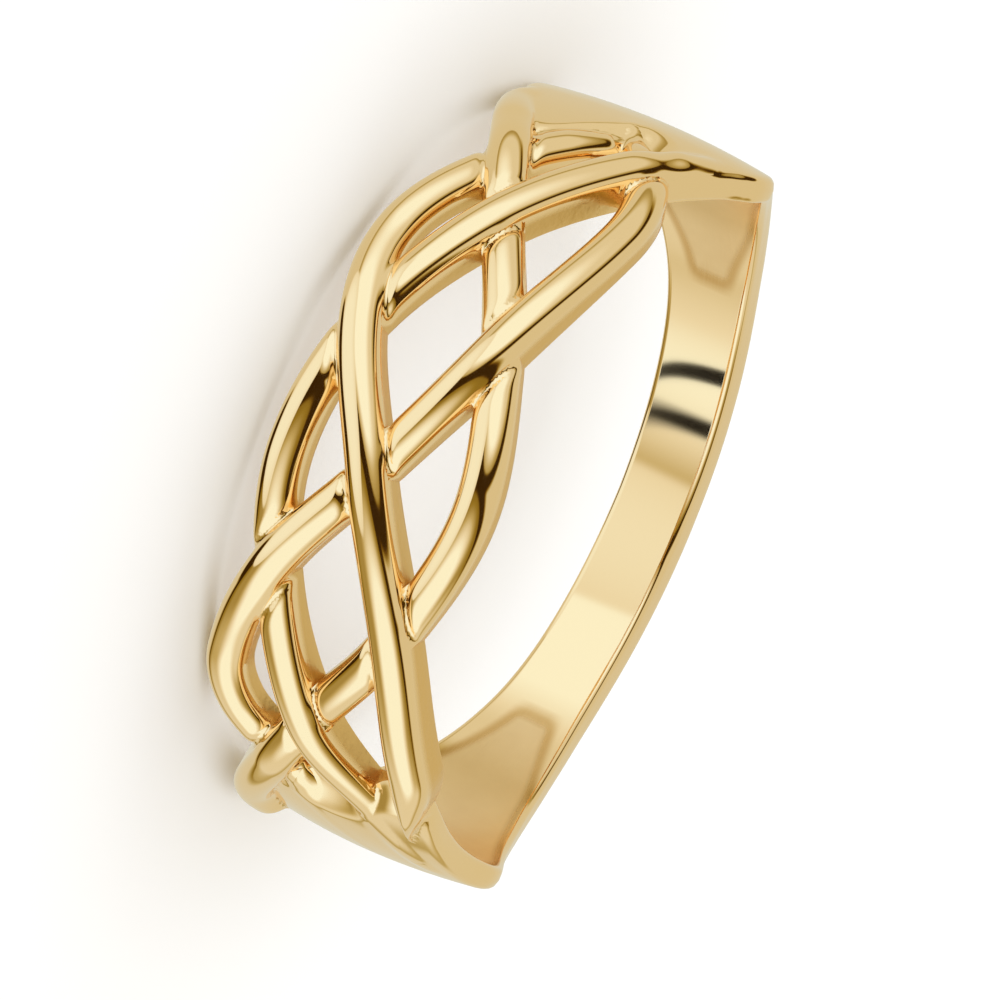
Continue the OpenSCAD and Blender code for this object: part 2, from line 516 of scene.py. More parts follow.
# How strongly the grain and the brush lines bend the light.
GRAIN_BUMP = 0.35
BRUSH_BUMP = 0.3


def gold():
    """Yellow gold, cast and then polished where a wheel reaches: bright mirror faces,
    a duller grain on the walls of the braid and a brushed bore behind the shoulders."""
    made = bpy.data.materials.get(GOLD)
    if made:
        return made
    look = bpy.context.scene.gold_finish
    made = bpy.data.materials.new(GOLD)
    made.use_nodes = True
    tree = made.node_tree
    tree.nodes.clear()
    spot = add_node(tree, "ShaderNodeTexCoord").outputs["Object"]
    # Casting grain is about 0.1 mm across, drawn at twice that so that it shows.
    grain = add_node(tree, "ShaderNodeTexNoise", {
        "Vector": spot, "Scale": 1 / (0.2 * MM), "Detail": 3.0, "Roughness": 0.6,
    }).outputs["Fac"]
    # Brush lines run along the ring: 1.4 mm long and 0.07 mm apart, as in the photo.
    flat = add_node(tree, "ShaderNodeAttribute", attribute_name="flat").outputs["Vector"]
    lines = add_node(tree, VECTOR_MATH, {
        0: flat, 1: (1 / (1.4 * MM), 1 / (0.07 * MM), 0.0)}, operation="MULTIPLY").outputs[0]
    brush = add_node(tree, "ShaderNodeTexNoise", {
        "Vector": lines, "Scale": 1.0, "Detail": 2.0, "Roughness": 0.5}).outputs["Fac"]
    # Clouds in the brushed part are about 0.9 mm across.
    clouds = add_node(tree, "ShaderNodeTexNoise", {
        "Vector": spot, "Scale": 1 / (0.9 * MM), "Detail": 2.0, "Roughness": 0.5,
    }).outputs["Fac"]
    wall = add_node(tree, "ShaderNodeAttribute", attribute_name="cast").outputs["Fac"]
    satin = add_node(tree, "ShaderNodeAttribute", attribute_name="satin").outputs["Fac"]
    # The brushed part is darkest along its edge, and slightly cloudy inside it.
    plain = add_node(tree, MATH, {0: 1.0, 1: satin}, operation="SUBTRACT").outputs[0]
    edge = add_node(tree, MATH, {0: satin, 1: plain}, operation="MULTIPLY").outputs[0]
    edge = add_node(tree, MATH, {0: edge, 1: EDGE_SHADE}, operation="MULTIPLY").outputs[0]
    cloudy = add_node(tree, MATH, {0: clouds, 1: CLOUD_SHADE}, operation="MULTIPLY").outputs[0]
    cloudy = add_node(tree, MATH, {0: cloudy, 1: satin}, operation="MULTIPLY").outputs[0]
    shade = add_node(tree, MATH, {0: edge, 1: cloudy}, operation="ADD",
                     use_clamp=True).outputs[0]
    colour = add_node(tree, MIX, {
        0: wall, 6: look.polished, 7: look.cast,
    }, data_type="RGBA").outputs[2]
    colour = add_node(tree, MIX, {
        0: shade, 6: colour, 7: look.brushed,
    }, data_type="RGBA").outputs[2]
    roughness = add_node(tree, "ShaderNodeMapRange", {
        "Value": wall, "To Min": look.polished_roughness, "To Max": look.cast_roughness,
    }).outputs["Result"]
    roughness = add_node(tree, MATH, {0: satin, 1: look.brush_roughness, 2: roughness},
                         operation="MULTIPLY_ADD").outputs[0]
    strength = add_node(tree, MATH, {0: wall, 1: GRAIN_BUMP}, operation="MULTIPLY").outputs[0]
    bump = add_node(tree, "ShaderNodeBump", {
        "Strength": strength, "Distance": 0.05 * MM, "Height": grain,
    }).outputs["Normal"]
    strength = add_node(tree, MATH, {0: satin, 1: BRUSH_BUMP}, operation="MULTIPLY").outputs[0]
    bump = add_node(tree, "ShaderNodeBump", {
        "Strength": strength, "Distance": 0.02 * MM, "Height": brush, "Normal": bump,
    }).outputs["Normal"]
    shader = add_node(tree, "ShaderNodeBsdfPrincipled", {
        "Base Color": colour, "Metallic": 1.0,
        "Roughness": roughness, "Normal": bump,
    })
    add_node(tree, "ShaderNodeOutputMaterial", {"Surface": shader.outputs["BSDF"]})
    return made


def place(turn, radius, z):
    """A point at a ring angle in radians, a radius and a height in millimetres, in metres."""
    return np.stack([radius * np.sin(turn), -radius * np.cos(turn), z + 0 * turn], axis=-1) * MM


def new_object(name, data):
    """A new object in the scene that holds the mesh or camera."""
    made = bpy.data.objects.new(name, data)
    bpy.context.scene.collection.objects.link(made)
    return made


def middle_radius():
    """The radius on which the braid is unrolled, in millimetres."""
    return BORE_RADIUS + ring_sizes().strand_height / 2


def route(k):
    """One strand's route unrolled on the bore, in millimetres: how far along the ring,
    how far across, how high its ridge is, how far it lies over the others and its half
    width."""
    sizes = ring_sizes()
    first, first_level, other, other_level = FADES[k]
    x = np.linspace(first_level - RUN_ON, other_level + RUN_ON, ROUTE_POINTS)
    sunk = np.where(x < 0, ease((x - first) / (first_level - first)),
                    ease((x - other) / (other_level - other)))
    over = stepped(STRANDS[k], OVER, x)
    high = sizes.strand_height - sizes.cross_drop * (1 - over)
    along = np.radians(x * sizes.braid_angle) * middle_radius()
    across = sizes.reach * through(STRANDS[k], ROUTE, x)
    left = RUN_ON + np.where(x < 0, x - first_level, other_level - x)
    level = floor_height(x * sizes.braid_angle, across) - sizes.end_cover
    level -= sizes.end_sink * ease(1 - left / SINK_RUN)
    first, first_done, first_width, other, other_done, other_width = WIDTHS[k]
    half = sizes.strand_width / 2 * (
        1 + (first_width - 1) * ease((x - first) / (first_done - first))
        + (other_width - 1) * ease((x - other) / (other_done - other)))
    return along, across, high + (level - high) * sunk, over, half


def path_mesh(k):
    """One strand's route as a line of points that carry the ridge's height and the half
    width."""
    along, across, top, _, half = route(k)
    points = np.stack([along, across, 0 * along], axis=-1) * MM
    mesh = bpy.data.meshes.new("strand path")
    mesh.from_pydata(points.tolist(), [(i, i + 1) for i in range(len(points) - 1)], [])
    for name, values in (("top", top), ("half", half)):
        mesh.attributes.new(name, "FLOAT", "POINT").data.foreach_set("value", values * MM)
    return mesh


def section_mesh():
    """A strand's section as a loop. x is across in half widths, y the fall below the
    ridge in domes, and z is 0 on the dome and 1 at the foot."""
    loop = [(-math.cos(q), math.sin(q) - 1, 0.0) for q in np.linspace(0, math.pi, DOME_POINTS)]
    loop += [(1.0, -1.0, share) for share in WALL_SHARES]
    loop += [(x, -1.0, 1.0) for x in (FOOT_WIDTH, 0.0, -FOOT_WIDTH)]
    loop += [(-1.0, -1.0, share) for share in reversed(WALL_SHARES)]
    mesh = bpy.data.meshes.new("strand section")
    mesh.from_pydata(loop, [(i, (i + 1) % len(loop)) for i in range(len(loop))], [])
    return mesh


# What the sweep's inputs are, in order. Columns: name and kind.
SWEEP_INPUTS = (
    ("Geometry", "Geometry"),
    ("Section", "Object"),
    ("Dome", "Float"),
    ("Bore radius", "Float"),
    ("Middle radius", "Float"),
    ("Stations", "Int"),
    ("Gold", "Material"),
)

# How a swept section is bent round the bore, a sum in each row. Columns: what it gives,
# the operation and the one or two values that it takes.
BEND = (
    ("side", "MULTIPLY", "section x", "half"),
    ("sideways", "MULTIPLY", "side", "heading y"),
    ("flat", "SUBTRACT", "path x", "sideways"),
    ("upwards", "MULTIPLY", "side", "heading x"),
    ("z", "ADD", "path y", "upwards"),
    ("turn", "DIVIDE", "flat", "Middle radius"),
    ("fall", "MULTIPLY", "section y", "Dome"),
    ("ridge", "ADD", "top", "fall"),
    ("share", "SUBTRACT", "one", "section z"),
    ("height", "MULTIPLY", "ridge", "share"),
    ("radius", "ADD", "Bore radius", "height"),
    ("sine", "SINE", "turn"),
    ("x", "MULTIPLY", "radius", "sine"),
    ("cosine", "COSINE", "turn"),
    ("front", "MULTIPLY", "cosine", "minus one"),
    ("y", "MULTIPLY", "radius", "front"),
)


def strand_tree():
    """Geometry nodes that sweep a section along a route and bend it round the bore."""
    tree = bpy.data.node_groups.new("strand sweep", "GeometryNodeTree")
    tree.interface.new_socket("Geometry", in_out="OUTPUT", socket_type="NodeSocketGeometry")
    for name, kind in SWEEP_INPUTS:
        tree.interface.new_socket(name, in_out="INPUT", socket_type="NodeSocket" + kind)
    given = add_node(tree, "NodeGroupInput").outputs
    here = add_node(tree, "GeometryNodeInputPosition").outputs[0]
    heading = add_node(tree, "GeometryNodeInputTangent").outputs[0]
    top, half = (add_node(tree, "GeometryNodeInputNamedAttribute", {"Name": name},
                          data_type="FLOAT").outputs["Attribute"] for name in ("top", "half"))

    path = add_node(tree, "GeometryNodeMeshToCurve", {"Mesh": given["Geometry"]})
    path = add_node(tree, "GeometryNodeResampleCurve", {
        "Curve": path.outputs["Curve"], "Count": given["Stations"]})
    section = add_node(tree, "GeometryNodeObjectInfo", {"Object": given["Section"]})
    section = add_node(tree, "GeometryNodeMeshToCurve", {"Mesh": section.outputs["Geometry"]})
    kept = []
    for curve, values in (
        (path, (("path", "VECTOR", here), ("heading", "VECTOR", heading),
                ("top", "FLOAT", top), ("half", "FLOAT", half))),
        (section, (("section", "VECTOR", here),)),
    ):
        keep = add_node(tree, "GeometryNodeCaptureAttribute", {
            "Geometry": curve.outputs["Curve"]})
        for name, kind, value in values:
            keep.capture_items.new(kind, name)
            tree.links.new(value, keep.inputs[name])
        kept.append(keep.outputs)
    sweep = add_node(tree, "GeometryNodeCurveToMesh", {
        "Curve": kept[0]["Geometry"], "Profile Curve": kept[1]["Geometry"], "Fill Caps": True})

    values = {"top": kept[0]["top"], "half": kept[0]["half"], "one": 1.0, "minus one": -1.0}
    for name in ("Dome", "Bore radius", "Middle radius"):
        values[name] = given[name]
    for name, vector in (("path", kept[0]["path"]), ("heading", kept[0]["heading"]),
                         ("section", kept[1]["section"])):
        parts = add_node(tree, "ShaderNodeSeparateXYZ", {"Vector": vector}).outputs
        for axis in "XYZ":
            values[name + " " + axis.lower()] = parts[axis]
    for name, operation, *taken in BEND:
        values[name] = add_node(
            tree, MATH, {i: values[value] for i, value in enumerate(taken)},
            operation=operation).outputs[0]
    bent = add_node(tree, "ShaderNodeCombineXYZ", {
        "X": values["x"], "Y": values["y"], "Z": values["z"]}).outputs[0]
    mesh = add_node(tree, "GeometryNodeSetPosition", {
        "Geometry": sweep.outputs["Mesh"], "Position": bent})
    down = values["section z"]
    cast = add_node(tree, "ShaderNodeMapRange", {
        "Value": down, "From Min": 0.0, "From Max": CAST_FROM}).outputs["Result"]
    for name, value in (("cast", cast), ("share", down)):
        mesh = add_node(tree, "GeometryNodeStoreNamedAttribute", {
            "Geometry": mesh.outputs["Geometry"], "Name": name, "Value": value,
        }, data_type="FLOAT", domain="POINT")
    mesh = add_node(tree, "GeometryNodeRealizeInstances", {"Geometry": mesh.outputs["Geometry"]})
    mesh = add_node(tree, "GeometryNodeSetMaterial", {
        "Geometry": mesh.outputs["Geometry"], "Material": given["Gold"]})
    add_node(tree, "NodeGroupOutput", {"Geometry": mesh.outputs["Geometry"]})
    return tree


def run_tree(made, tree, values):
    """Runs a node tree on an object with these inputs and returns the plain mesh."""
    modifier = made.modifiers.new("sweep", "NODES")
    modifier.node_group = tree
    for item in tree.interface.items_tree:
        if item.item_type == "SOCKET" and item.in_out == "INPUT" and item.name in values:
            modifier[item.identifier] = values[item.name]
    graph = bpy.context.evaluated_depsgraph_get()
    mesh = bpy.data.meshes.new_from_object(made.evaluated_get(graph))
    made.modifiers.clear()
    return mesh


class RING_OT_braid(bpy.types.Operator):
    """Braid the four strands"""

    bl_idname = "ring.braid"
    bl_label = "Braid the strands"

    def execute(self, context):
        sizes = ring_sizes()
        section = new_object("strand section", section_mesh())
        tree = strand_tree()
        for k in range(len(STRANDS)):
            path = new_object("strand path", path_mesh(k))
            mesh = run_tree(path, tree, {
                "Section": section,
                "Dome": sizes.dome * MM,
                "Bore radius": (BORE_RADIUS + FOOT_STEP * k) * MM,
                "Middle radius": middle_radius() * MM,
                "Stations": STATIONS,
                "Gold": gold(),
            })
            bpy.data.objects.remove(path)
            mesh.set_sharp_from_angle(angle=math.radians(STRAND_SHARP))
            new_object("strand_%d" % (k + 1), mesh)
        bpy.data.objects.remove(section)
        return {"FINISHED"}


def band_at(angle, z):
    """The band's half width on the side of z, and its thickness, at signed ring angles."""
    sizes = ring_sizes()
    a = sizes.shoulder_angle
    angle, z = np.broadcast_arrays(angle, z)
    size = np.abs(angle)
    x = np.where(size <= a, size / a, 1 + (size - a) / (180 - a))
    flare, side, shank = (through(BAND, column, x) for column in (FLARE, SIDE, SHANK))
    width = sizes.shank_width + (sizes.shoulder_width - sizes.shank_width) * flare
    thickness = (sizes.shoulder_thickness
                 + (sizes.side_thickness - sizes.shoulder_thickness) * side
                 + (sizes.shank_thickness - sizes.shoulder_thickness) * shank)
    for end in (0, 1):
        for edge in (0, 1):
            here = (x < NARROWING_END) & ((angle > 0) == bool(end)) & ((z > 0) == bool(edge))
            width = np.where(here, width * through(NARROWING[end][edge], SHARE, x), width)
    return width / 2, thickness


def past_front(angle, across):
    """How far a place on the shoulders lies behind their front edge, in millimetres."""
    first, other = (through(front, SHARE, across) for front in FRONTS)
    front = np.where(angle < 0, first, other) * ring_sizes().shoulder_angle
    return np.radians(np.abs(angle) - front) * middle_radius()


def floor_height(angle, z):
    """The height of the shoulders' and shank's outer face at signed ring angles, with the
    pockets at the braid's ends."""
    sizes = ring_sizes()
    half, thickness = band_at(angle, z)
    across = np.clip(z / half, -1, 1)
    pocket = 1 - ease(past_front(angle, across) / sizes.pocket_run)
    e = sizes.edge_round
    rim = np.clip((np.abs(z) - (half - e)) / e, 0, 1)
    rounding = e * (1 - np.sqrt(1 - rim**2))
    near = ease((CROWN_END - np.abs(angle)) / CROWN_RUN)
    crown = sizes.crown + (sizes.shoulder_crown - sizes.crown) * near
    return thickness - crown * across**2 - sizes.pocket_drop * pocket - rounding


def strand_height(k, along, z):
    """The height of strand k over unrolled points, how far outside its edge they lie,
    and how far it lies over the others there. Beside the strand its wall falls off."""
    sizes = ring_sizes()
    s, w, top, over, wide = route(k)
    height, beside, above = (np.empty(len(along)) for _ in range(3))
    ds, dw = np.gradient(s), np.gradient(w)
    length = np.hypot(ds, dw)
    for i in range(0, len(along), CHUNK):
        part = slice(i, i + CHUNK)
        gap = (along[part, None] - s) ** 2 + (z[part, None] - w) ** 2
        near = gap.argmin(axis=1)
        da, dz = along[part] - s[near], z[part] - w[near]
        off = np.abs(dz * ds[near] - da * dw[near]) / length[near]
        past = np.abs(da * ds[near] + dz * dw[near]) / length[near]
        off = np.where(past > PAST_END, np.hypot(off, past), off)
        half = wide[near]
        round_top = sizes.dome * (np.sqrt(1 - np.clip(off / half, 0, 1) ** 2) - 1)
        height[part] = top[near] + round_top - WALL_SLOPE * np.maximum(off - half, 0)
        beside[part] = off - half
        above[part] = over[near]
    return height, beside, above


def soft_max(a, b, k):
    """The higher of two heights, with the crease between them filled over about k."""
    blend = np.maximum(k - np.abs(a - b), 0) / k
    return np.maximum(a, b) + k * blend**2 / 4


def settle(own, over, along, z, others, floor=True):
    """Heights of one surface after it has run into all the others. Where it is buried, it
    sinks a little further, so that only one surface shows."""
    sizes = ring_sizes()
    height = own.copy()
    reliefs = []
    for k in others:
        other, beside, above = strand_height(k, along, z)
        if over is not None:
            under = np.clip(above - over, 0, 1)
            dip = np.exp(-(np.maximum(beside, 0) / TUCK_REACH) ** 2)
            height -= sizes.tuck * under * dip
        reliefs.append(other)
    if floor:
        angle = np.degrees(along / middle_radius())
        across = z / band_at(angle, z)[0]
        inside = (np.abs(across) <= 1) & (past_front(angle, across) >= 0)
        reliefs.append(np.where(inside, floor_height(angle, z), NO_FLOOR))
    buried = np.zeros(len(own))
    for other in reliefs:
        buried = np.maximum(buried, other - height)
    for other in reliefs:
        height = soft_max(height, other, sizes.fillet)
    return height - np.minimum(SINK_SHARE * buried, SINK_MOST)


def unrolled(mesh):
    """Where the mesh's points lie along the ring, across it and above the bore."""
    points = np.empty(len(mesh.vertices) * 3)
    mesh.vertices.foreach_get("co", points)
    points = points.reshape(-1, 3) / MM
    along = np.arctan2(points[:, 0], -points[:, 1]) * middle_radius()
    return along, points[:, 2], np.hypot(points[:, 0], points[:, 1]) - BORE_RADIUS


def rolled(along, z, height):
    """Unrolled points back on the ring, in metres."""
    return place(along / middle_radius(), BORE_RADIUS + height, z)


def band_grid():
    """The outer face's rows of points, from one front edge round the back to the other:
    their ring angles, and their places across the band in half widths."""
    angle = ring_sizes().shoulder_angle
    even = np.linspace(-1, 1, BAND_COLUMNS)
    columns = 0.5 * np.sin(even * math.pi / 2) + 0.5 * even
    fronts = [through(front, SHARE, columns) * angle for front in FRONTS]
    first, other = ([front + (SHOULDER_END - front) * t for t in np.linspace(0, 1, SHOULDER_ROWS)]
                    for front in fronts)
    shank = np.concatenate([np.arange(SHOULDER_END + FLARE_STEP, FLARE_END, FLARE_STEP),
                            np.arange(FLARE_END, 180, SHANK_STEP)])
    back = [np.full(BAND_COLUMNS, a) for a in np.concatenate([shank, [180.0], 360 - shank[::-1]])]
    return np.array(other + back + [360 - a for a in first[::-1]]), columns


def edge_points(turn, height, z):
    """One edge of the band, from below the outer face down to the lip at the bore."""
    lip = ring_sizes().inner_round
    quarter = np.linspace(0, math.pi / 2, LIP_POINTS)[:-1]
    low = min(lip, height / 2)
    heights = np.concatenate([low + (height - low) * np.array(WALL_STEPS),
                              low * (1 - np.sin(quarter))])
    inward = np.concatenate([0 * np.array(WALL_STEPS), lip * (1 - np.cos(quarter))])
    return place(turn, BORE_RADIUS + heights, z - np.sign(z) * inward)


def satin_share(size, inner, reach):
    """How brushed the bore is, from 0 to 1, at unsigned ring angles and places across it,
    where it reaches so far to each side."""
    sizes = ring_sizes()
    room = np.where(inner < 0, sizes.satin_inset, SATIN_TOP_INSET)
    room = room + SATIN_TAPER * ease((size - SATIN_TAPER_START) / SATIN_TAPER_RUN)
    across = ease((reach - np.abs(inner) - room) / SATIN_SOFT + 0.5)
    return across * ease((sizes.satin_angle - size) / SATIN_SOFT_ANGLE + 0.5)


def band_faces(rows, n):
    """The faces between the rows and over both ends. Each row's n points go over the outer
    face, down one edge, back along the bore and up the other edge."""
    faces = [(i * n + j, (i + 1) * n + j, (i + 1) * n + (j + 1) % n, i * n + (j + 1) % n)
             for i in range(rows - 1) for j in range(n)]
    last = BAND_COLUMNS - 1
    for base, order in ((0, 1), ((rows - 1) * n, -1)):
        bore = base + 2 * BAND_COLUMNS + WALL_POINTS - 1
        for j in range(last):
            faces.append((base + j, base + j + 1, bore - j - 1, bore - j)[::order])
        right = [base + last + j for j in range(WALL_POINTS + 2)]
        left = [base] + [bore + j for j in range(WALL_POINTS + 1)]
        faces += [tuple(right[::order]), tuple(left[::order])]
    return faces


class RING_OT_band(bpy.types.Operator):
    """Make the shoulders and the shank"""

    bl_idname = "ring.band"
    bl_label = "Make the shoulders and shank"

    def execute(self, context):
        turns, columns = band_grid()
        signed = np.where(turns > 180, turns - 360, turns)
        half = band_at(signed, columns + 0 * signed)[0]
        z = columns * half
        along = np.radians(signed) * middle_radius()
        own = floor_height(signed.ravel(), z.ravel())
        top = settle(own, None, along.ravel(), z.ravel(), range(len(STRANDS)), floor=False)
        top = top.reshape(z.shape)
        points, satins = [], []
        for turn, angle, h, across, wide in zip(np.radians(turns), np.abs(signed), top, z, half):
            reach = wide - ring_sizes().inner_round
            inner = across * reach / wide
            down, up = (edge_points(turn[side], h[side], across[side]) for side in (-1, 0))
            bore = place(turn, BORE_RADIUS - BORE_SINK, inner)
            points.append(np.concatenate([
                place(turn, BORE_RADIUS + h, across), down, bore[::-1], up[::-1]]))
            plain = np.zeros(WALL_POINTS)
            satins.append(np.concatenate([
                0 * across, plain, satin_share(angle, inner, reach)[::-1], plain]))
        mesh = bpy.data.meshes.new("band")
        mesh.from_pydata(np.concatenate(points).tolist(), [],
                         band_faces(len(points), len(points[0])))
        mesh.attributes.new("cast", "FLOAT", "POINT")
        mesh.attributes.new("satin", "FLOAT", "POINT").data.foreach_set(
            "value", np.concatenate(satins))
        flat_along, flat_z, _ = unrolled(mesh)
        flat = np.stack([flat_along, flat_z, 0 * flat_z], axis=-1) * MM
        mesh.attributes.new("flat", "FLOAT_VECTOR", "POINT").data.foreach_set(
            "vector", flat.ravel())
        mesh.materials.append(gold())
        mesh.shade_smooth()
        mesh.set_sharp_from_angle(angle=math.radians(BAND_SHARP))
        new_object("band", mesh)
        return {"FINISHED"}


class RING_OT_blend(bpy.types.Operator):
    """Let the strands dip at their crossings and run into the shoulders"""

    bl_idname = "ring.blend"
    bl_label = "Blend the strands"

    def execute(self, context):
        for k in range(len(STRANDS)):
            mesh = bpy.data.objects["strand_%d" % (k + 1)].data
            along, z, height = unrolled(mesh)
            share, cast = (np.empty(len(mesh.vertices)) for _ in range(2))
            mesh.attributes["share"].data.foreach_get("value", share)
            mesh.attributes["cast"].data.foreach_get("value", cast)
            own, _, over = strand_height(k, along, z)
            dome = share < 0.001
            own = np.where(dome, height, own)
            others = [j for j in range(len(STRANDS)) if j != k]
            grid = (len(along) // SECTION_POINTS, SECTION_POINTS)
            new = settle(own, over, along, z, others).reshape(grid)
            left, right = new[:, [0]], new[:, [DOME_POINTS - 1]]
            wall = np.where(np.arange(SECTION_POINTS) < FOOT_MIDDLE, right, left)
            share = share.reshape(grid)
            foot = height.reshape(grid)[:, [FOOT_MIDDLE]]
            raised = np.where(dome.reshape(grid), new, wall * (1 - share) + foot * share)
            turn = np.abs(np.degrees(along / middle_radius()))
            mesh.attributes["cast"].data.foreach_set(
                "value", cast * ease((CAST_END - turn) / CAST_RUN))
            mesh.vertices.foreach_set("co", rolled(along, z, raised.ravel()).ravel())
            mesh.update()
        return {"FINISHED"}


class RING_OT_casting(bpy.types.Operator):
    """Join the strands and the band into one casting"""

    bl_idname = "ring.casting"
    bl_label = "Join the casting"

    def execute(self, context):
        target = bpy.data.objects["band"]
        strands = [bpy.data.objects["strand_%d" % (k + 1)] for k in range(len(STRANDS))]
        parts = [target] + strands
        with context.temp_override(active_object=target, object=target, selected_objects=parts,
                                   selected_editable_objects=parts):
            bpy.ops.object.join()
        target.name = "ring_casting"
        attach(target, "root")
        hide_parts("ring")
        return {"FINISHED"}


# Two tapering dark strips painted into the floor inside the ring, seen only by the metal's mirror
# rays:
# painted reflections that show as dark bars in the shank, while the camera sees plain paper.
# Columns:
# x and y of one end and of the other, half width at each end and width of the soft edge, all in
# millimetres.
STRIPS = (
    (1.58, 3.70, 6.70, 0.55, 0.14, 0.48, 0.05),
    (1.35, 3.12, 4.98, -1.79, 0.14, 0.44, 0.13),
)

# The colour of the painted dark bars that the shank mirrors, and the paper's roughness.
PAINTED_BARS_COLOUR = "#0c0602"
PAPER_ROUGHNESS = 0.6


def floor_material(colour):
    """Matt pale paper, which the metal doesn't mirror: in its place the metal sees the tent,
    with two strips of painted black that show as dark bars of painted reflection in the shank."""
    made = bpy.data.materials.new("pale paper floor")
    made.use_nodes = True
    tree = made.node_tree
    tree.nodes.clear()
    paper = add_node(tree, "ShaderNodeBsdfPrincipled", {
        "Base Color": colour, "Roughness": PAPER_ROUGHNESS}).outputs[0]
    spot = add_node(tree, "ShaderNodeTexCoord").outputs["Object"]
    painted_bars = 0.0
    for x0, y0, x1, y1, first, last, soft in STRIPS:
        start, end = Vector((x0, y0, 0.0)) * MM, Vector((x1, y1, 0.0)) * MM
        length = (end - start).length
        along = (end - start) / length
        from_start = add_node(tree, VECTOR_MATH, {0: spot, 1: start},
                              operation="SUBTRACT").outputs[0]
        share, off = (add_node(tree, VECTOR_MATH, {0: from_start, 1: way},
                               operation="DOT_PRODUCT").outputs["Value"]
                      for way in (along / length, Vector((-along.y, along.x, 0.0))))
        off = add_node(tree, MATH, {0: off}, operation="ABSOLUTE").outputs[0]
        half = add_node(tree, MATH, {
            0: share, 1: (last - first) * MM, 2: first * MM}, operation="MULTIPLY_ADD").outputs[0]
        past = add_node(tree, MATH, {0: off, 1: half}, operation="SUBTRACT").outputs[0]
        across = add_node(tree, "ShaderNodeMapRange", {
            "Value": past, "From Min": soft * MM, "From Max": -soft * MM}).outputs["Result"]
        # The share runs from 0 at one end of the strip to 1 at the other.
        inside = add_node(tree, MATH, {0: share, 1: 0.5, 2: 0.5}, operation="COMPARE").outputs[0]
        strip = add_node(tree, MATH, {0: across, 1: inside}, operation="MULTIPLY").outputs[0]
        painted_bars = add_node(tree, MATH, {0: painted_bars, 1: strip}, operation="MAXIMUM").outputs[0]
    clear = add_node(tree, "ShaderNodeBsdfTransparent").outputs[0]
    black = add_node(tree, "ShaderNodeBsdfDiffuse", {"Color": linear(PAINTED_BARS_COLOUR)}).outputs[0]
    mirrored = add_node(tree, "ShaderNodeMixShader", {0: painted_bars, 1: clear, 2: black}).outputs[0]
    # Mirror rays see the tent and the painted dark bars of reflection; all other rays see the
    # paper.
    shiny = add_node(tree, "ShaderNodeLightPath").outputs["Is Glossy Ray"]
    seen = add_node(tree, "ShaderNodeMixShader", {0: shiny, 1: paper, 2: mirrored}).outputs[0]
    add_node(tree, "ShaderNodeOutputMaterial", {"Surface": seen})
    return made


def view_axes():
    """The camera's right, up and back directions."""
    a, e, r = (math.radians(x) for x in (VIEW_AZIMUTH, VIEW_ELEVATION, VIEW_ROLL))
    back = Vector((math.sin(a) * math.cos(e), -math.cos(a) * math.cos(e), math.sin(e)))
    right = Vector((math.cos(a), math.sin(a), 0.0))
    up = back.cross(right)
    return math.cos(r) * right + math.sin(r) * up, math.cos(r) * up - math.sin(r) * right, back


def direction(azimuth, elevation):
    """A unit vector: azimuth 0 points to the braid's side and 90 to +X."""
    a, e = math.radians(azimuth), math.radians(elevation)
    return (math.sin(a) * math.cos(e), -math.cos(a) * math.cos(e), math.sin(e))


# The two round softboxes, and a white card below them in front of the ring. Columns:
# azimuth and elevation of the middle, angle from there to the edge, brightness where no
# lamp stands behind it, and the share of its brightness that it loses towards the edge.
SOFTBOXES = (
    (-65, 2, 53, 0.74, 0.50),
    (65, 2, 67, 0.38, 0.35),
    (-8, -48, 34, 0.74, 0.0),
)

# Angles in degrees: over how much a box dims towards its edge, and how soft its edge is.
EDGE_LOSS = 13
EDGE_SOFT = 1

# The dark rims of the two softboxes. Columns: width, azimuth and elevation of the place
# where the rim is full, angles from there where it is full and where it has gone.
RIMS = (
    (7, -40, 35, 68, 84),
    (7, 50, 0, 74, 86),
)

# The lamps behind the softboxes. Columns: which softbox, azimuth and elevation of the
# brightest place, angles where that is full and where it has gone, brightness that it adds.
LAMPS = (
    (0, -38, -5, 18, 52, 0.32),
    (1, 50, 8, 16, 52, 0.70),
    (1, 132, 4, 36, 68, 0.38),
    (2, -8, -48, 15, 45, 0.20),
)

# More dark cloth. Columns: azimuth and elevation, angle to its edge, and to where it has
# faded out.
CLOTHS = (
    (90, -80, 9, 14),
)

# The light's colour from dark to bright: lamplight through cloth is warm where it is
# weak, and the lamps themselves are cool daylight. Columns: brightness, colour.
TINTS = (
    (0.00, "#150b03"),
    (0.12, "#523805"),
    (0.30, "#806f2c"),
    (0.54, "#a79e77"),
    (0.70, "#bcbbae"),
    (0.84, "#ccd1d2"),
    (1.00, "#daebfd"),
)


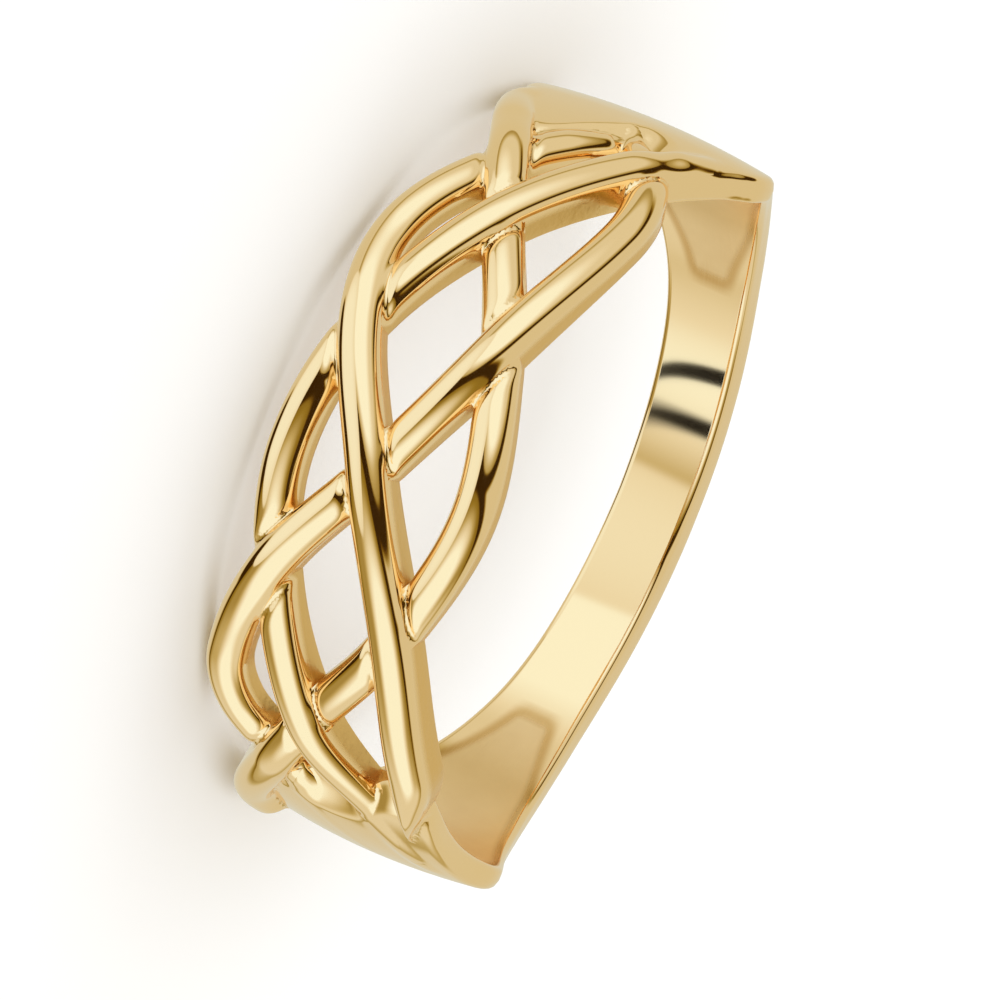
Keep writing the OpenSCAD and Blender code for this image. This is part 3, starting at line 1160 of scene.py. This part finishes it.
def add_tent(context):
    """The world: plain daylight for the floor, and for the metal two round softboxes in a
    ring of dark cloth, which give gold its long highlights with thin dark edges."""
    look = context.scene.studio_look
    world = bpy.data.worlds.new("studio")
    world.use_nodes = True
    tree = world.node_tree
    tree.nodes.clear()
    way = add_node(tree, "ShaderNodeTexCoord").outputs["Generated"]
    way = add_node(tree, VECTOR_MATH, {0: way}, operation="NORMALIZE").outputs[0]

    def near(azimuth, elevation, full, none):
        """1 within one angle of a direction, easing to 0 at the other."""
        dot = add_node(tree, VECTOR_MATH, {0: way, 1: direction(azimuth, elevation)},
                       operation="DOT_PRODUCT").outputs["Value"]
        return add_node(tree, "ShaderNodeMapRange", {
            "Value": dot, "From Min": math.cos(math.radians(none)),
            "From Max": math.cos(math.radians(full)),
        }, interpolation_type="SMOOTHSTEP").outputs["Result"]

    level = look.gap
    fade = math.degrees(look.rim_fade)
    for (a, e, edge, _, _), (width, rim_a, rim_e, full, none) in zip(SOFTBOXES, RIMS):
        dark = add_node(tree, MATH, {
            0: near(a, e, edge + width, edge + width + fade), 1: near(rim_a, rim_e, full, none),
        }, operation="MULTIPLY").outputs[0]
        level = add_node(tree, MIX, {0: dark, 2: level, 3: look.cloth},
                         data_type="FLOAT").outputs[0]
    for number, (a, e, edge, box, loss) in enumerate(SOFTBOXES):
        for which, lamp_a, lamp_e, full, none, share in LAMPS:
            if which == number:
                box = add_node(tree, MATH, {
                    0: near(lamp_a, lamp_e, full, none), 1: share, 2: box,
                }, operation="MULTIPLY_ADD").outputs[0]
        kept = add_node(tree, MIX, {
            0: near(a, e, edge - EDGE_LOSS, edge), 2: 1 - loss, 3: 1.0,
        }, data_type="FLOAT").outputs[0]
        box = add_node(tree, MATH, {0: box, 1: kept}, operation="MULTIPLY").outputs[0]
        level = add_node(tree, MIX, {
            0: near(a, e, edge - EDGE_SOFT, edge + EDGE_SOFT), 2: level, 3: box,
        }, data_type="FLOAT").outputs[0]
    for a, e, full, none in CLOTHS:
        level = add_node(tree, MIX, {
            0: near(a, e, full, none), 2: level, 3: look.cloth,
        }, data_type="FLOAT").outputs[0]
    ramp = add_node(tree, "ShaderNodeValToRGB", {"Fac": level})
    stops = ramp.color_ramp.elements
    while len(stops) < len(TINTS):
        stops.new(0.5)
    for stop, (brightness, tint) in zip(stops, TINTS):
        stop.position = brightness
        stop.color = linear(tint)
    tent = add_node(tree, "ShaderNodeBackground", {
        "Color": ramp.outputs["Color"], "Strength": look.softbox}).outputs[0]
    plain = add_node(tree, "ShaderNodeBackground", {
        "Color": linear("#ffffff"), "Strength": look.daylight}).outputs[0]
    shiny = add_node(tree, "ShaderNodeLightPath").outputs["Is Glossy Ray"]
    light = add_node(tree, "ShaderNodeMixShader", {0: shiny, 1: plain, 2: tent}).outputs[0]
    add_node(tree, "ShaderNodeOutputWorld", {"Surface": light})
    context.scene.world = world


def add_camera():
    """The photo's camera, with a long lens."""
    right, up, back = view_axes()
    spot = right * VIEW_AIM_RIGHT_MM + up * VIEW_AIM_UP_MM + back * VIEW_DISTANCE_MM
    data = bpy.data.cameras.new("photo camera")
    data.lens = VIEW_LENS_MM
    data.sensor_width = VIEW_SENSOR_MM
    data.clip_start = VIEW_CLIP_START
    camera = new_object("photo camera", data)
    turn = Matrix((right, up, back)).transposed().to_4x4()
    camera.matrix_world = Matrix.Translation(spot * MM) @ turn
    bpy.context.scene.camera = camera


# The floor, in metres: from its middle to its sides, and how far it lies below the ring.
FLOOR_REACH = 1.5
FLOOR_GAP = 0.00002


class RING_OT_stage(bpy.types.Operator):
    """Set up the floor, the light and the camera"""

    bl_idname = "ring.stage"
    bl_label = "Set the stage"

    def execute(self, context):
        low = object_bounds()[0]
        data = bpy.data.meshes.new("floor")
        corners = [(x * FLOOR_REACH, y * FLOOR_REACH, 0)
                   for x, y in ((-1, -1), (1, -1), (1, 1), (-1, 1))]
        data.from_pydata(corners, [], [(0, 1, 2, 3)])
        data.materials.append(floor_material(context.scene.studio_look.floor))
        floor = new_object("floor", data)
        floor.location.z = low.z - FLOOR_GAP
        floor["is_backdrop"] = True
        add_tent(context)
        add_camera()
        context.scene.view_settings.view_transform = "Standard"
        context.scene.unit_settings.length_unit = "MILLIMETERS"
        return {"FINISHED"}


class RING_PT_sidebar(bpy.types.Panel):
    """The ring's pieces and sizes"""

    bl_label = "Braided ring"
    bl_idname = "RING_PT_sidebar"
    bl_space_type = "VIEW_3D"
    bl_region_type = "UI"
    bl_category = "Braided ring"

    def draw(self, context):
        layout = self.layout
        for operator in OPERATORS:
            layout.operator(operator.bl_idname)
        for kind in GROUPS:
            group = getattr(context.scene, kind)
            box = layout.box()
            for name in group.__annotations__:
                box.prop(group, name)


OPERATORS = (RING_OT_band, RING_OT_braid, RING_OT_blend, RING_OT_casting, RING_OT_stage)
GROUPS = {"ring_sizes": RingSizes, "gold_finish": GoldFinish, "studio_look": StudioLook}
CLASSES = tuple(GROUPS.values()) + OPERATORS + (RING_PT_sidebar,)


def register():
    """Adds the classes and the scene's settings."""
    for cls in CLASSES:
        bpy.utils.register_class(cls)
    for name, group in GROUPS.items():
        setattr(bpy.types.Scene, name, bpy.props.PointerProperty(type=group))


def unregister():
    """Takes the classes and the scene's settings away."""
    for name in GROUPS:
        delattr(bpy.types.Scene, name)
    for cls in reversed(CLASSES):
        bpy.utils.unregister_class(cls)


def main():
    """Builds the ring and its stage."""
    register()
    bpy.ops.ring.band()
    bpy.ops.ring.braid()
    bpy.ops.ring.blend()
    bpy.ops.ring.casting()
    bpy.ops.ring.stage()


if __name__ == "__main__":
    main()
